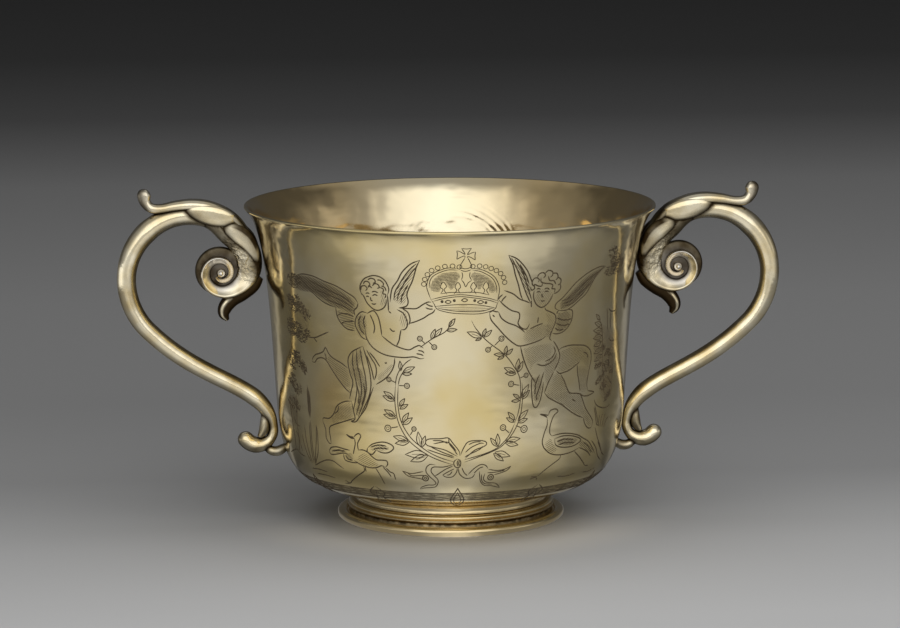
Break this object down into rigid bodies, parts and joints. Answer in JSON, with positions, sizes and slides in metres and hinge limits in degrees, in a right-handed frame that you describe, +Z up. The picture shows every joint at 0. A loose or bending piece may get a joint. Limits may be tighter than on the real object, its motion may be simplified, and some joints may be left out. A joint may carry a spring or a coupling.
{
  "type": "caudle cup",
  "caption": "Footed drinking cup with flared lip, rounded belly and cast scroll handles that carry snail volutes and leaf thumb rests, standing on a moulded ring foot.",
  "frame": {"origin": "on the table, under the axis of the bowl", "axes": "+Z up along the axis of the bowl, +X through the right-hand handle, -Y towards the viewer of the picture"},
  "size_m": [0.2044, 0.1264, 0.1032],
  "materials": {
    "gilt_sheet": "polished silver-gilt, raised from sheet and engraved",
    "gilt_cast": "polished silver-gilt, cast and chased"
  },
  "bodies": {
    "root": {"bowl": "gilt_sheet", "foot_collet": "gilt_sheet", "foot_reed": "gilt_sheet", "foot_rim": "gilt_sheet", "left_stem": "gilt_cast", "left_volute": "gilt_cast", "left_cap_leaf": "gilt_cast", "left_drop_leaf": "gilt_cast", "left_front_long_petal": "gilt_cast", "left_back_long_petal": "gilt_cast", "left_front_short_petal": "gilt_cast", "left_back_short_petal": "gilt_cast", "left_heel_leaf": "gilt_cast", "left_heel_spur": "gilt_cast", "right_stem": "gilt_cast", "right_volute": "gilt_cast", "right_cap_leaf": "gilt_cast", "right_drop_leaf": "gilt_cast", "right_front_long_petal": "gilt_cast", "right_back_long_petal": "gilt_cast", "right_front_short_petal": "gilt_cast", "right_back_short_petal": "gilt_cast", "right_heel_leaf": "gilt_cast", "right_heel_spur": "gilt_cast"}
  },
  "joints": []
}
